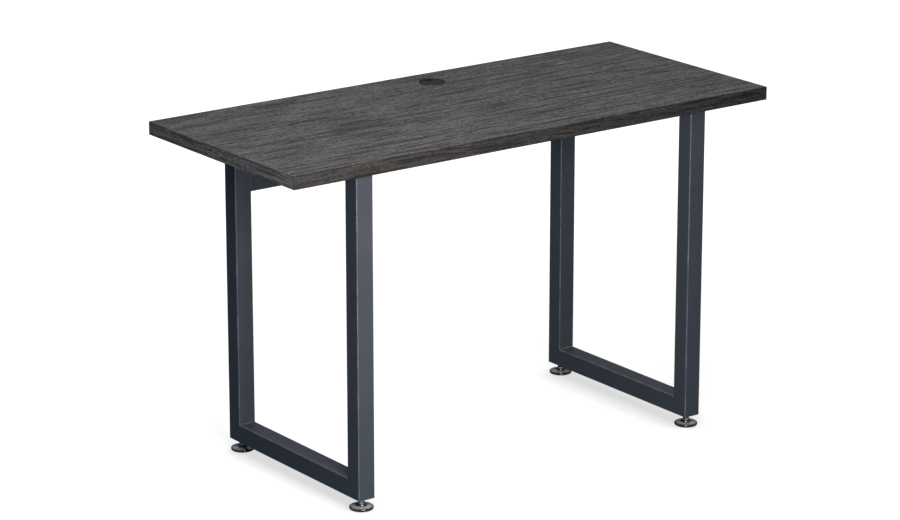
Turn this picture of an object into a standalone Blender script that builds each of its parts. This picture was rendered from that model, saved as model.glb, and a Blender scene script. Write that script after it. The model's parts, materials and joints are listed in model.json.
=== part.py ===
"""Computer desk: a laminated top on two closed-loop steel frames that a rear stretcher joins.

Metres, +Z up. The origin is on the floor under the middle of the top. +X runs along the desk to the
right of a person seated at -Y, and +Y is the rear. The desk stands on screw feet, and a cable grommet
near the rear edge has a cap that lifts out, with a shutter that turns under it.
"""

import math

import bmesh
import bpy

GAP = 0.0003  # between pieces that touch on the real desk

# Desktop
TOP_WIDTH = 1.2192
TOP_DEPTH = 0.5334
TOP_THICKNESS = 0.0286
TOP_HEIGHT = 0.737
BAND_THICKNESS = 0.002
BAND_ROUNDING = 0.0008

# Frames, of square tube with mitred lower corners and a flat bar across the top
TUBE = 0.040
TUBE_WALL = 0.0015
TUBE_ROUNDING = 0.002
FRAME_OUTER_X = 0.45145  # middle of the desk to a frame's outer face
FRAME_DEPTH = 0.4799
FRAME_MIDDLE_Y = -0.011
FRAME_BOTTOM = 0.024  # clear height under the bottom rails
BAR_THICKNESS = 0.005
CORNER_STEPS = 3

# Rear stretcher, a rectangular tube that slips over a stub on each rear leg
STRETCHER_TALL = 0.050
STRETCHER_DEEP = 0.025
STRETCHER_DROP = 0.0895  # underside of the top to the top of the stretcher
STUB_LENGTH = 0.045
STUB_WALL = 0.003
STUB_CLEARANCE = 0.0004
STUB_ROUNDING = 0.001
STRETCHER_SCREWS_AT = (0.010, 0.034)  # from the leg

# M6 screws and the inserts that they screw into
SCREW_RADIUS = 0.0029
SCREW_HOLE_RADIUS = 0.0035
SCREW_HEAD_RADIUS = 0.006
SCREW_HEAD_HEIGHT = 0.0033
SOCKET_FLAT = 0.002  # half of the hexagon socket's width across flats
SOCKET_DEPTH = 0.002
TOP_SCREWS_AT = (-0.170, 0.0, 0.170)  # along a mounting bar, from its middle
TOP_SCREW_LENGTH = 0.016
TOP_INSERT_RADIUS = 0.0045
TOP_INSERT_LENGTH = 0.013
TOP_POCKET_RADIUS = 0.0048
TOP_POCKET_DEPTH = 0.014
STRETCHER_SCREW_LENGTH = 0.012

# Screw feet: M8 stud with a hexagon, on a round pad
PAD_RADIUS = 0.025
PAD_TOP = 0.0106
SOCKET_RADIUS = 0.0046
SOCKET_FLOOR = 0.004
STUD_RADIUS = 0.0039
STUD_TOP = 0.046
STUD_HEX_FLAT = 0.0065
STUD_HEX_LOW = 0.0109
STUD_HEX_TALL = 0.0045
NUT_BORE_RADIUS = 0.0043
NUT_BODY_RADIUS = 0.0054
NUT_BULGE_RADIUS = 0.0066
NUT_FLANGE_RADIUS = 0.0075
NUT_FLANGE_THICKNESS = 0.001
NUT_LENGTH = 0.015
NUT_HOLE_RADIUS = 0.0058

# Cable grommet. Heights are from the top surface.
GROMMET_X = 0.058
GROMMET_Y = 0.193
GROMMET_HOLE_RADIUS = 0.025
LINER_FLANGE_RADIUS = 0.0285
LINER_FLANGE_TOP = 0.0018
LINER_BARREL_RADIUS = 0.0246
LINER_BORE_RADIUS = 0.0215
LINER_RECESS_RADIUS = 0.0238
LINER_LEDGE = -0.0012
LINER_BOTTOM = -0.0245
CAP_RADIUS = 0.0234
CAP_THICKNESS = 0.0025
CAP_SKIRT_OUTER = 0.0209
CAP_SKIRT_INNER = 0.0195
CAP_SKIRT_DEPTH = 0.009
SLOT_HALF_WIDTH = 0.009
SLOT_INNER_END = 0.006  # from the grommet's middle
PIVOT_RADIUS = 0.0025
PIVOT_HOLE_RADIUS = 0.0029
PIVOT_LIP_RADIUS = 0.0042  # of the lip that holds the shutter up
PIVOT_LIP_THICKNESS = 0.0008
SHUTTER_RADIUS = 0.0190
SHUTTER_HUB_RADIUS = 0.0055
SHUTTER_THICKNESS = 0.0012
SHUTTER_HALF_ANGLE = math.radians(48)

# Sides of the round pieces
FINE, MEDIUM, COARSE = 48, 32, 12

TOP_UNDERSIDE = TOP_HEIGHT - TOP_THICKNESS
FRAME_TOP = TOP_UNDERSIDE - GAP
BAR_BOTTOM = FRAME_TOP - BAR_THICKNESS
LEG_TOP = BAR_BOTTOM - GAP
SCREW_SEAT = BAR_BOTTOM - GAP
TUBE_X = FRAME_OUTER_X - TUBE / 2
LEG_SPACING = FRAME_DEPTH - TUBE
LEG_Y = {"front": FRAME_MIDDLE_Y - LEG_SPACING / 2, "rear": FRAME_MIDDLE_Y + LEG_SPACING / 2}
SIDES = {"left": -1, "right": 1}

# name: (colour, roughness, metallic)
FINISHES = {
    "desktop_laminate": ((0.095, 0.090, 0.090), 0.55, 0.0),
    "edge_banding": ((0.055, 0.053, 0.053), 0.50, 0.0),
    "frame_powder_coat": ((0.050, 0.058, 0.072), 0.42, 0.0),
    "zinc_hardware": ((0.55, 0.55, 0.56), 0.32, 1.0),
    "black_hardware": ((0.030, 0.031, 0.034), 0.35, 0.0),
    "foot_plastic": ((0.012, 0.012, 0.013), 0.22, 0.0),
    "grommet_plastic": ((0.022, 0.022, 0.023), 0.38, 0.0),
}


def clear_scene():
    for thing in list(bpy.data.objects):
        bpy.data.objects.remove(thing)


def make_materials():
    materials = {}
    for name, (colour, roughness, metallic) in FINISHES.items():
        material = bpy.data.materials.new(name)
        material.use_nodes = True
        surface = material.node_tree.nodes["Principled BSDF"]
        surface.inputs["Base Color"].default_value = (*colour, 1)
        surface.inputs["Roughness"].default_value = roughness
        surface.inputs["Metallic"].default_value = metallic
        materials[name] = material
    return materials


# ---- mesh helpers ----


def finished_mesh(name, shape):
    """The bmesh as a mesh with its faces pointing out, smooth where it is round."""
    bmesh.ops.recalc_face_normals(shape, faces=shape.faces)
    mesh = bpy.data.meshes.new(name)
    shape.to_mesh(mesh)
    shape.free()
    mesh.shade_smooth()
    mesh.set_sharp_from_angle(angle=math.radians(35))
    return mesh


def skinned_mesh(name, loops, closed):
    """A surface through loops of points, each joined to the next. A loop of one point is a tip."""
    shape = bmesh.new()
    rings = [[shape.verts.new(point) for point in loop] for loop in loops]
    following = rings[1:] + rings[:1] if closed else rings[1:]
    for ring, after in zip(rings, following):
        count = max(len(ring), len(after))
        for i in range(count):
            j = (i + 1) % count
            corners = [ring[i % len(ring)], ring[j % len(ring)], after[j % len(after)], after[i % len(after)]]
            shape.faces.new(list(dict.fromkeys(corners)))
    return finished_mesh(name, shape)


def turned_mesh(name, profile, sides, closed=False):
    """A profile turned about Z. A point is (radius, height), or (half width, height, "hex")."""
    loops = []
    for radius, height, *form in profile:
        if radius == 0:
            loops.append([(0, 0, height)])
            continue
        loop = []
        for i in range(sides):
            angle = 2 * math.pi * i / sides
            reach = radius
            if form:
                reach /= math.cos((angle + math.pi / 6) % (math.pi / 3) - math.pi / 6)
            loop.append((reach * math.cos(angle), reach * math.sin(angle), height))
        loops.append(loop)
    return skinned_mesh(name, loops, closed)


def extruded_mesh(name, outline, low, high):
    """An outline in X and Y, extruded from low to high along Z."""
    shape = bmesh.new()
    below, above = ([shape.verts.new((x, y, z)) for x, y in outline] for z in (low, high))
    shape.faces.new(below)
    shape.faces.new(above)
    for i in range(len(outline)):
        j = (i + 1) % len(outline)
        shape.faces.new((below[i], below[j], above[j], above[i]))
    return finished_mesh(name, shape)


def rounded_rectangle(width, depth, radius):
    """Outline of a rectangle about the origin with round corners."""
    points = []
    for quarter in range(4):
        along_x, along_y = ((1, 1), (-1, 1), (-1, -1), (1, -1))[quarter]
        middle = (along_x * (width / 2 - radius), along_y * (depth / 2 - radius))
        for step in range(CORNER_STEPS + 1):
            angle = math.pi / 2 * (quarter + step / CORNER_STEPS)
            points.append((middle[0] + radius * math.cos(angle), middle[1] + radius * math.sin(angle)))
    return points


def tube_mesh(name, width, depth, length, wall, rounding, mitres=()):
    """A hollow tube along Z about its middle. Ends (-1 or 1) in mitres are cut to be longest at -Y."""
    loops = []
    outer = rounded_rectangle(width, depth, rounding)
    inner = rounded_rectangle(width - 2 * wall, depth - 2 * wall, max(rounding - wall, wall / 2))
    for section, end in ((outer, -1), (outer, 1), (inner, 1), (inner, -1)):
        loop = []
        for x, y in section:
            short = y + depth / 2 + GAP / math.sqrt(2) if end in mitres else 0
            loop.append((x, y, end * (length / 2 - short)))
        loops.append(loop)
    return skinned_mesh(name, loops, closed=True)


def cylinders_mesh(name, cylinders, sides):
    """Separate upright cylinders, each (x, y, radius, low, high), for cutting holes."""
    shape = bmesh.new()
    for x, y, radius, low, high in cylinders:
        rings = []
        for z in (low, high):
            ring = []
            for i in range(sides):
                angle = 2 * math.pi * i / sides
                ring.append(shape.verts.new((x + radius * math.cos(angle), y + radius * math.sin(angle), z)))
            rings.append(ring)
            shape.faces.new(rings[-1])
        for i in range(sides):
            j = (i + 1) % sides
            shape.faces.new((rings[0][i], rings[0][j], rings[1][j], rings[1][i]))
    return finished_mesh(name, shape)


# ---- object helpers ----


def place(name, mesh, material, location=(0, 0, 0), rotation=(0, 0, 0), parent=None):
    """An object of this mesh. Copies that share a mesh share its material too."""
    if not mesh.materials:
        mesh.materials.append(material)
    piece = bpy.data.objects.new(name, mesh)
    piece.location = location
    piece.rotation_euler = rotation
    piece.parent = parent
    bpy.context.scene.collection.objects.link(piece)
    return piece


def cut(piece, cutter_mesh, location=(0, 0, 0), rotation=(0, 0, 0)):
    """Takes the cutter's shape out of the piece. The cutter isn't rendered."""
    cutter = bpy.data.objects.new(cutter_mesh.name, cutter_mesh)
    cutter.location = location
    cutter.rotation_euler = rotation
    cutter.hide_render = True
    cutter.display_type = "WIRE"
    bpy.context.scene.collection.objects.link(cutter)
    modifier = piece.modifiers.new(cutter_mesh.name, "BOOLEAN")
    modifier.operation = "DIFFERENCE"
    modifier.solver = "EXACT"
    modifier.object = cutter


# ---- desktop ----


def top_screw_places():
    """(side, number, x, y) of each screw that holds the top to a mounting bar."""
    places = []
    for side, sign in SIDES.items():
        for number, along in enumerate(TOP_SCREWS_AT, 1):
            places.append((side, number, sign * TUBE_X, FRAME_MIDDLE_Y + along))
    return places


def make_board(materials):
    half_x = TOP_WIDTH / 2 - BAND_THICKNESS - GAP
    half_y = TOP_DEPTH / 2 - BAND_THICKNESS - GAP
    outline = [(-half_x, -half_y), (half_x, -half_y), (half_x, half_y), (-half_x, half_y)]
    mesh = extruded_mesh("desktop_board", outline, TOP_UNDERSIDE, TOP_HEIGHT)
    board = place("desktop_board", mesh, materials["desktop_laminate"])
    pockets = [
        (x, y, TOP_POCKET_RADIUS, TOP_UNDERSIDE - 0.005, TOP_UNDERSIDE + TOP_POCKET_DEPTH)
        for _, _, x, y in top_screw_places()
    ]
    cut(board, cylinders_mesh("insert_pockets", pockets, COARSE))
    hole = (GROMMET_X, GROMMET_Y, GROMMET_HOLE_RADIUS, TOP_UNDERSIDE - 0.005, TOP_HEIGHT + 0.005)
    cut(board, cylinders_mesh("grommet_hole", [hole], FINE))


def band_mesh(name, length):
    """Edge band along Z about its middle, with its outer long edges at +Y rounded."""
    half = TOP_THICKNESS / 2
    outline = [(-half, -BAND_THICKNESS / 2), (half, -BAND_THICKNESS / 2)]
    for side, first in ((1, 0), (-1, math.pi / 2)):
        for step in range(CORNER_STEPS + 1):
            angle = first + math.pi / 2 * step / CORNER_STEPS
            outline.append((
                side * (half - BAND_ROUNDING) + BAND_ROUNDING * math.cos(angle),
                BAND_THICKNESS / 2 - BAND_ROUNDING + BAND_ROUNDING * math.sin(angle),
            ))
    return extruded_mesh(name, outline, -length / 2, length / 2)


def make_bands(materials):
    """The front and rear bands run the full width, and the end bands fit between them."""
    long_mesh = band_mesh("long_band", TOP_WIDTH)
    short_mesh = band_mesh("short_band", TOP_DEPTH - 2 * (BAND_THICKNESS + GAP))
    middle_z = TOP_HEIGHT - TOP_THICKNESS / 2
    out_y = (TOP_DEPTH - BAND_THICKNESS) / 2
    out_x = (TOP_WIDTH - BAND_THICKNESS) / 2
    upright = math.pi / 2
    for name, mesh, location, turn in (
        ("edge_band_rear", long_mesh, (0, out_y, middle_z), 0),
        ("edge_band_front", long_mesh, (0, -out_y, middle_z), math.pi),
        ("edge_band_right", short_mesh, (out_x, 0, middle_z), -math.pi / 2),
        ("edge_band_left", short_mesh, (-out_x, 0, middle_z), math.pi / 2),
    ):
        place(name, mesh, materials["edge_banding"], location, (0, upright, turn))


# ---- frames ----


def make_frames(materials):
    """Each frame is two legs, mitred and welded to a bottom rail, and a flat bar across their tops."""
    coat = materials["frame_powder_coat"]
    leg_tall = LEG_TOP - FRAME_BOTTOM
    leg_mesh = tube_mesh("leg", TUBE, TUBE, leg_tall, TUBE_WALL, TUBE_ROUNDING, mitres=(-1,))
    rail_mesh = tube_mesh("rail", TUBE, TUBE, FRAME_DEPTH, TUBE_WALL, TUBE_ROUNDING, mitres=(-1, 1))
    bar_outline = rounded_rectangle(TUBE, FRAME_DEPTH, TUBE_ROUNDING)
    bar_mesh = extruded_mesh("mounting_bar", bar_outline, BAR_BOTTOM, FRAME_TOP)
    middle_z = FRAME_BOTTOM + leg_tall / 2
    beyond = 0.005  # how far a cutter goes past the wall it cuts
    for side, sign in SIDES.items():
        x = sign * TUBE_X
        place(f"{side}_front_leg", leg_mesh, coat, (x, LEG_Y["front"], middle_z))
        place(f"{side}_rear_leg", leg_mesh, coat, (x, LEG_Y["rear"], middle_z), (0, 0, math.pi))
        lying = (math.pi / 2, 0, 0)
        rail_spot = (x, FRAME_MIDDLE_Y, FRAME_BOTTOM + TUBE / 2)
        rail = place(f"{side}_bottom_rail", rail_mesh, coat, rail_spot, lying)
        low, high = FRAME_BOTTOM - beyond, FRAME_BOTTOM + beyond
        holes = [(x, y, NUT_HOLE_RADIUS, low, high) for y in LEG_Y.values()]
        cut(rail, cylinders_mesh(f"{side}_foot_holes", holes, COARSE))
        bar = place(f"{side}_mounting_bar", bar_mesh, coat, (x, FRAME_MIDDLE_Y, 0))
        holes = [
            (x, y, SCREW_HOLE_RADIUS, BAR_BOTTOM - beyond, FRAME_TOP + beyond)
            for screw_side, _, _, y in top_screw_places()
            if screw_side == side
        ]
        cut(bar, cylinders_mesh(f"{side}_screw_holes", holes, COARSE))


def make_stretcher(materials):
    """The stretcher lies between the rear legs, on a stub that is welded to each of them."""
    quarter = math.pi / 2
    inner_x = FRAME_OUTER_X - TUBE
    middle_z = TOP_UNDERSIDE - STRETCHER_DROP - STRETCHER_TALL / 2
    y = LEG_Y["rear"]
    mesh = tube_mesh(
        "stretcher", STRETCHER_TALL, STRETCHER_DEEP, 2 * (inner_x - GAP), TUBE_WALL, TUBE_ROUNDING
    )
    lying = (0, quarter, 0)
    stretcher = place("rear_stretcher", mesh, materials["frame_powder_coat"], (0, y, middle_z), lying)
    less = 2 * (TUBE_WALL + STUB_CLEARANCE)
    stub_mesh = tube_mesh(
        "stub", STRETCHER_TALL - less, STRETCHER_DEEP - less, STUB_LENGTH, STUB_WALL, STUB_ROUNDING
    )
    screw_mesh = screw_mesh_of("stretcher_screw", STRETCHER_SCREW_LENGTH)
    rear_face = y + STRETCHER_DEEP / 2
    facing_rear = (quarter, 0, 0)
    through = 0.006  # how far a hole's cutter goes to each side of the rear face
    for side, sign in SIDES.items():
        stub_x = sign * (inner_x - GAP - STUB_LENGTH / 2)
        spot = (stub_x, y, middle_z)
        stub = place(f"{side}_stretcher_stub", stub_mesh, materials["frame_powder_coat"], spot, lying)
        holes_x = [sign * (inner_x - at) for at in STRETCHER_SCREWS_AT]
        holes = [(x, 0, SCREW_HOLE_RADIUS, -through, through) for x in holes_x]
        for number, piece in enumerate((stretcher, stub), 1):
            cutter = cylinders_mesh(f"{side}_stretcher_holes_{number}", holes, COARSE)
            cut(piece, cutter, (0, rear_face, middle_z), facing_rear)
        for number, x in enumerate(holes_x, 1):
            spot = (x, rear_face + GAP, middle_z)
            name = f"{side}_stretcher_screw_{number}"
            place(name, screw_mesh, materials["black_hardware"], spot, facing_rear)


# ---- screws and inserts ----


def screw_mesh_of(name, length):
    """Button-head screw: the shank runs up from the origin, and the head is below it."""
    head = -SCREW_HEAD_HEIGHT
    profile = [
        (0, head + SOCKET_DEPTH),
        (SOCKET_FLAT, head + SOCKET_DEPTH, "hex"),
        (SOCKET_FLAT, head, "hex"),
        (SCREW_HEAD_RADIUS * 0.58, head),
        (SCREW_HEAD_RADIUS * 0.88, head * 0.62),
        (SCREW_HEAD_RADIUS, 0),
        (SCREW_RADIUS, 0),
        (SCREW_RADIUS, length - 0.001),
        (SCREW_RADIUS - 0.0008, length),
        (0, length),
    ]
    return turned_mesh(name, profile, COARSE)


def make_top_screws(materials):
    """Screws run up through the mounting bars into threaded inserts in the board."""
    screw_mesh = screw_mesh_of("top_screw", TOP_SCREW_LENGTH)
    bore = SCREW_HOLE_RADIUS - 0.0003
    low = TOP_UNDERSIDE + GAP
    high = low + TOP_INSERT_LENGTH
    profile = [(bore, low), (TOP_INSERT_RADIUS, low), (TOP_INSERT_RADIUS, high), (bore, high)]
    insert_mesh = turned_mesh("top_insert", profile, COARSE, closed=True)
    for side, number, x, y in top_screw_places():
        place(f"{side}_top_screw_{number}", screw_mesh, materials["zinc_hardware"], (x, y, SCREW_SEAT))
        place(f"{side}_top_insert_{number}", insert_mesh, materials["zinc_hardware"], (x, y, 0))


# ---- screw feet ----


def make_feet(materials):
    """A rivet nut in the bottom rail, a stud with a hexagon that screws into it, and a pad on the stud."""
    pad_mesh = turned_mesh(
        "foot_pad",
        [
            (0, 0),
            (PAD_RADIUS - 0.0022, 0),
            (PAD_RADIUS - 0.0004, 0.0022),
            (PAD_RADIUS, 0.0045),
            (PAD_RADIUS - 0.0012, 0.0060),
            (PAD_RADIUS * 0.72, 0.0072),
            (PAD_RADIUS * 0.46, 0.0088),
            (PAD_RADIUS * 0.36, PAD_TOP),
            (SOCKET_RADIUS, PAD_TOP),
            (SOCKET_RADIUS, SOCKET_FLOOR),
            (0, SOCKET_FLOOR),
        ],
        MEDIUM,
    )
    hex_high = STUD_HEX_LOW + STUD_HEX_TALL
    stem_mesh = turned_mesh(
        "foot_stem",
        [
            (0, SOCKET_FLOOR + GAP),
            (STUD_RADIUS, SOCKET_FLOOR + GAP),
            (STUD_RADIUS, STUD_HEX_LOW),
            (STUD_HEX_FLAT, STUD_HEX_LOW, "hex"),
            (STUD_HEX_FLAT, hex_high - 0.0006, "hex"),
            (STUD_HEX_FLAT * 0.94, hex_high),
            (STUD_RADIUS, hex_high),
            (STUD_RADIUS, STUD_TOP - 0.001),
            (STUD_RADIUS - 0.001, STUD_TOP),
            (0, STUD_TOP),
        ],
        COARSE,
    )
    flange_top = FRAME_BOTTOM - GAP
    above_wall = FRAME_BOTTOM + TUBE_WALL + GAP
    nut_mesh = turned_mesh(
        "foot_nut",
        [
            (NUT_BORE_RADIUS, flange_top - NUT_FLANGE_THICKNESS),
            (NUT_FLANGE_RADIUS, flange_top - NUT_FLANGE_THICKNESS),
            (NUT_FLANGE_RADIUS, flange_top),
            (NUT_BODY_RADIUS, flange_top),
            (NUT_BODY_RADIUS, above_wall),
            (NUT_BULGE_RADIUS, above_wall),
            (NUT_BULGE_RADIUS, above_wall + 0.003),
            (NUT_BODY_RADIUS, above_wall + 0.004),
            (NUT_BODY_RADIUS, FRAME_BOTTOM + NUT_LENGTH),
            (NUT_BORE_RADIUS, FRAME_BOTTOM + NUT_LENGTH),
        ],
        COARSE,
        closed=True,
    )
    for end, y in LEG_Y.items():
        for side, sign in SIDES.items():
            spot = (sign * TUBE_X, y, 0)
            pad = place(f"foot_pad_{end}_{side}", pad_mesh, materials["foot_plastic"], spot)
            place(f"foot_stem_{end}_{side}", stem_mesh, materials["zinc_hardware"], parent=pad)
            place(f"foot_nut_{end}_{side}", nut_mesh, materials["zinc_hardware"], spot)


# ---- cable grommet ----


def make_liner(materials, middle):
    mesh = turned_mesh(
        "grommet_liner",
        [
            (LINER_BORE_RADIUS, LINER_BOTTOM),
            (LINER_BARREL_RADIUS, LINER_BOTTOM),
            (LINER_BARREL_RADIUS, GAP),
            (LINER_FLANGE_RADIUS, GAP),
            (LINER_FLANGE_RADIUS, LINER_FLANGE_TOP * 0.45),
            (LINER_FLANGE_RADIUS - 0.0012, LINER_FLANGE_TOP),
            (LINER_RECESS_RADIUS, LINER_FLANGE_TOP),
            (LINER_RECESS_RADIUS, LINER_LEDGE),
            (LINER_BORE_RADIUS, LINER_LEDGE),
        ],
        MEDIUM,
        closed=True,
    )
    place("grommet_liner", mesh, materials["grommet_plastic"], middle)


def slot_outline():
    """A slot open towards +Y, with a round inner end."""
    far = LINER_FLANGE_RADIUS
    middle_y = SLOT_INNER_END + SLOT_HALF_WIDTH
    steps = 8
    outline = [(SLOT_HALF_WIDTH, far), (-SLOT_HALF_WIDTH, far)]
    for step in range(steps + 1):
        angle = math.pi * (1 + step / steps)
        outline.append((SLOT_HALF_WIDTH * math.cos(angle), middle_y + SLOT_HALF_WIDTH * math.sin(angle)))
    return outline


def make_cap(materials, middle):
    """The cap rests on the liner's ledge. It has a slot at the rear for cables and a pin with a lip below."""
    low = LINER_LEDGE + GAP
    high = low + CAP_THICKNESS
    lip_high = low - SHUTTER_THICKNESS - 2 * GAP
    lip_low = lip_high - PIVOT_LIP_THICKNESS
    mesh = turned_mesh(
        "grommet_cap",
        [
            (0, lip_low),
            (PIVOT_LIP_RADIUS, lip_low),
            (PIVOT_LIP_RADIUS, lip_high),
            (PIVOT_RADIUS, lip_high),
            (PIVOT_RADIUS, low),
            (CAP_SKIRT_INNER, low),
            (CAP_SKIRT_INNER, low - CAP_SKIRT_DEPTH),
            (CAP_SKIRT_OUTER, low - CAP_SKIRT_DEPTH),
            (CAP_SKIRT_OUTER, low),
            (CAP_RADIUS, low),
            (CAP_RADIUS, high - 0.0006),
            (CAP_RADIUS - 0.0006, high),
            (0, high),
        ],
        MEDIUM,
    )
    cap = place("grommet_cap", mesh, materials["grommet_plastic"], middle)
    reach = 0.02
    cut(cap, extruded_mesh("cable_slot", slot_outline(), -reach, reach), middle)
    return cap, low


def make_shutter(materials, cap, cap_low):
    """A quarter disc on the pin under the cap. It turns half round, from the cap's solid side to its slot."""
    high = cap_low - GAP
    low = high - SHUTTER_THICKNESS
    steps = 10
    outline = []
    for step in range(steps + 1):
        angle = -math.pi / 2 + SHUTTER_HALF_ANGLE * (2 * step / steps - 1)
        outline.append((SHUTTER_RADIUS * math.cos(angle), SHUTTER_RADIUS * math.sin(angle)))
    for step in range(steps + 1):
        angle = -math.pi / 2 + SHUTTER_HALF_ANGLE + (2 * math.pi - 2 * SHUTTER_HALF_ANGLE) * step / steps
        outline.append((SHUTTER_HUB_RADIUS * math.cos(angle), SHUTTER_HUB_RADIUS * math.sin(angle)))
    mesh = extruded_mesh("grommet_shutter", outline, low, high)
    shutter = place("grommet_shutter", mesh, materials["grommet_plastic"], parent=cap)
    hole = (0, 0, PIVOT_HOLE_RADIUS, low - GAP, high + GAP)
    cut(shutter, cylinders_mesh("pivot_hole", [hole], COARSE), cap.location)


def main():
    clear_scene()
    materials = make_materials()
    make_board(materials)
    make_bands(materials)
    make_frames(materials)
    make_stretcher(materials)
    make_top_screws(materials)
    make_feet(materials)
    grommet_middle = (GROMMET_X, GROMMET_Y, TOP_HEIGHT)
    make_liner(materials, grommet_middle)
    cap, cap_low = make_cap(materials, grommet_middle)
    make_shutter(materials, cap, cap_low)


main()
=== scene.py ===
"""Looks of the computer desk: a wood-grain laminate top on two powder-coated square-tube frames.

Every visible part is rebuilt finely where its CAD node lies, rides on that node's body and gets a
procedural material. Metres, +Z up, +Y to the rear, +X to the right of a person seated at -Y.
"""

import json
import math

import bmesh
import bpy
from mathutils import Matrix, Vector


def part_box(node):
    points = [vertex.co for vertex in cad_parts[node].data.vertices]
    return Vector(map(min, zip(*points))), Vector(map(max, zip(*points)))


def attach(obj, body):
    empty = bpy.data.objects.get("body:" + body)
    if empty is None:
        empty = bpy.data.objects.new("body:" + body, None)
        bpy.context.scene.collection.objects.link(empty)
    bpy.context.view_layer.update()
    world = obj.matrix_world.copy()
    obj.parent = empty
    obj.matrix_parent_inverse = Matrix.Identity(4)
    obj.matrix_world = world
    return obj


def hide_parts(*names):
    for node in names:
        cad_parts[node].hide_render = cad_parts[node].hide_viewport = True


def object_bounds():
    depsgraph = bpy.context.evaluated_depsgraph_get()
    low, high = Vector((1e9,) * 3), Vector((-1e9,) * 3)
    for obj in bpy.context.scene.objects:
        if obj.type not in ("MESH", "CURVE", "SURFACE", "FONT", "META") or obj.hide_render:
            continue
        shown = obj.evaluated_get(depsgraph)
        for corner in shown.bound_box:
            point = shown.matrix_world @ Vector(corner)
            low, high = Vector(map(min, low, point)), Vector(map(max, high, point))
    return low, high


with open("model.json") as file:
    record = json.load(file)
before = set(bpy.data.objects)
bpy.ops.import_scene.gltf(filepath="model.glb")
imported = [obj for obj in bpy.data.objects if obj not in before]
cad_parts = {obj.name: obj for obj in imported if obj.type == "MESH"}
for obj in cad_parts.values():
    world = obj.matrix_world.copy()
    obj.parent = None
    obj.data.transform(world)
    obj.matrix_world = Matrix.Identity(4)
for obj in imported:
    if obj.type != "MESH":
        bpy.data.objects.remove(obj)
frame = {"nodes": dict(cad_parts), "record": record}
CAD_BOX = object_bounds()

SIDES = {"left": -1, "right": 1}
ENDS = ("front", "rear")
BODY_OF = {node: body for body, nodes in frame["record"]["behaviour"]["bodies"].items() for node in nodes}
X, Y, Z = Vector((1, 0, 0)), Vector((0, 1, 0)), Vector((0, 0, 1))

MERGE = 1e-6
SMOOTH_ANGLE = math.radians(35)

# Sides of turned shapes
FINE, MEDIUM, COARSE = 128, 64, 48

# Desktop
GLUE_LINE = 0.00005  # between the board and its edge bands
BAND_ARRIS = 0.0011
BAND_ARRIS_STEPS = 5
GROMMET_HOLE_RADIUS = 0.025
CAP_THICKNESS = 0.0025
POCKET_CLEARANCE = 0.0003  # round an insert
POCKET_DEEPER = 0.001  # than the insert
UNDERSIDE_DEPTH = 0.001  # higher faces that look down are pockets' ends, not the underside
FACING = 0.5  # least part of a normal along an axis that it faces
BEYOND = 0.005  # how far a cutter goes past the face it cuts

# Tubes
WALL = 0.0015
TUBE_ROUNDING = 0.0021
ROUNDING_STEPS = 7
MITRE_EASE = 0.0012  # how round the outer corners of a frame are ground
MITRE_STEPS = 4
END_EASE = 0.0003
BAR_EASE = 0.0005
NUT_HOLE_RADIUS = 0.0058
SCREW_HOLE_RADIUS = 0.0035
WELD_LEG = 0.0028
WELD_RIPPLE = 0.0011
STEPS_PER_RIPPLE = 4

# Screws
SOCKET_FLAT = 0.002
SOCKET_DEPTH = 0.0021
M6_PITCH, M8_PITCH = 0.001, 0.00125
SHANK_OF_HEAD = 0.483  # a screw's shank over its head
THREAD_DEPTH = 0.6  # of the pitch
THREAD_AT_END = 0.2  # how much of that depth a thread starts with
VALLEY_WIDTH, VALLEY_SLOPE = 1.25, 1.6
ROWS_PER_TURN = 6

# View: the lens axis passes through AIM
VIEW_AZIMUTH = math.radians(-36.5014)
VIEW_ELEVATION = math.radians(16.7315)
VIEW_DISTANCE = 7.2
AIM = Vector((-0.0838, -0.0642, 0.4251))
LENS = 137.53

# Studio: the floor glows a little short of white near the desk, so that it takes soft cast shadows
FLOOR_REACH = 60
NEAR_FLOOR, FAR_FLOOR = 0.9, 2.4
NEAR_GLOW = 0.72
CONTACT_REACH = 0.09  # how far from a foot or a rail the floor gets painted contact shade
WHITE = (1, 1, 1, 1)


# ---- meshes ----


def finished(name, shape):
    """The bmesh as a mesh with its faces pointing out, smooth where it is round."""
    bmesh.ops.remove_doubles(shape, verts=shape.verts, dist=MERGE)
    bmesh.ops.dissolve_degenerate(shape, edges=shape.edges, dist=MERGE)
    bmesh.ops.recalc_face_normals(shape, faces=shape.faces)
    mesh = bpy.data.meshes.new(name)
    shape.to_mesh(mesh)
    shape.free()
    mesh.shade_smooth()
    mesh.set_sharp_from_angle(angle=SMOOTH_ANGLE)
    return mesh


def skinned(name, loops, closed=False, capped=False):
    """A surface through loops of points, each joined to the next. A loop of one point is a tip."""
    shape = bmesh.new()
    rings = [[shape.verts.new(point) for point in loop] for loop in loops]
    following = rings[1:] + rings[:1] if closed else rings[1:]
    for ring, after in zip(rings, following):
        count = max(len(ring), len(after))
        for i in range(count):
            j = (i + 1) % count
            near = [ring[i % len(ring)], ring[j % len(ring)]]
            far = [after[j % len(after)], after[i % len(after)]]
            shape.faces.new(list(dict.fromkeys(near + far)))
    if capped:
        shape.faces.new(rings[0])
        shape.faces.new(rings[-1])
    return finished(name, shape)


def turned(name, profile, sides, closed=False):
    """A profile turned about Z. A point is (radius, height), and radius may be a function of the angle."""
    loops = []
    for radius, height in profile:
        if radius == 0:
            loops.append([(0, 0, height)])
            continue
        loop = []
        for i in range(sides):
            angle = 2 * math.pi * i / sides
            reach = radius(angle) if callable(radius) else radius
            loop.append((reach * math.cos(angle), reach * math.sin(angle), height))
        loops.append(loop)
    return skinned(name, loops, closed)


def extruded(name, outline, low, high):
    """An outline in X and Y, extruded from low to high along Z."""
    return skinned(name, [[(x, y, z) for x, y in outline] for z in (low, high)], capped=True)


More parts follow.
